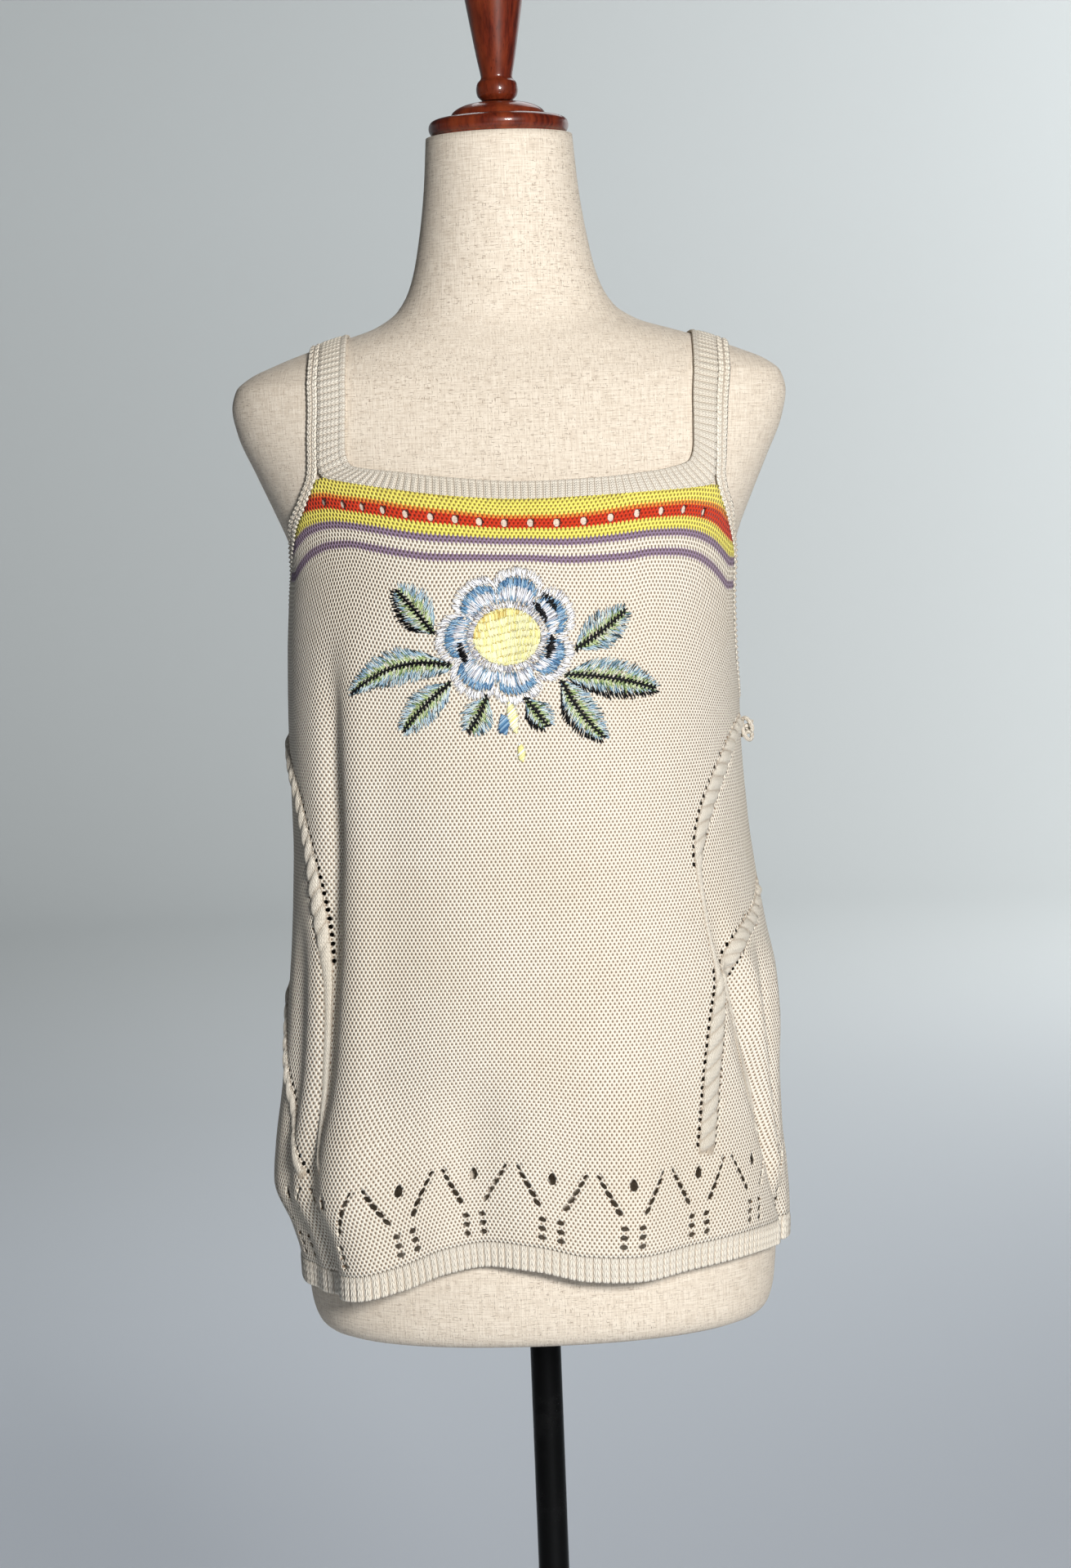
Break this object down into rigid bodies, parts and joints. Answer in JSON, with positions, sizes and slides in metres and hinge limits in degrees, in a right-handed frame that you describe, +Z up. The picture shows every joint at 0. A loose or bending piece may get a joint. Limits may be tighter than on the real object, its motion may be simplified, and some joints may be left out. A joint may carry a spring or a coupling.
{
  "type": "knit tank top on a limbless dress form with a pole stand",
  "caption": "Hip-length knit tank top with cable and lace work, ribbed edges and a stitched flower, worn by a linen dress form on a round metal stand.",
  "frame": {"origin": "middle of the stand's underside, on the floor", "axes": "+Z up along the pole, -Y out of the garment's front, +X to the right of the picture"},
  "size_m": [0.38, 0.38, 1.634],
  "materials": {
    "knit": "matt oatmeal cotton knit, with yellow, orange and lilac stripes at the neck",
    "linen": "ecru linen with dark slubs, stretched over the form",
    "mahogany": "red-brown stain under gloss lacquer",
    "black_metal": "gloss black paint"
  },
  "bodies": {
    "root": {"front_panel": "knit", "back_panel": "knit", "front_hem": "knit", "back_hem": "knit", "neckband": "knit", "armband_left": "knit", "armband_right": "knit", "side_knot": "knit", "torso": "linen", "neck_cap": "mahogany", "finial": "mahogany", "pole": "black_metal", "base": "black_metal"}
  },
  "joints": []
}
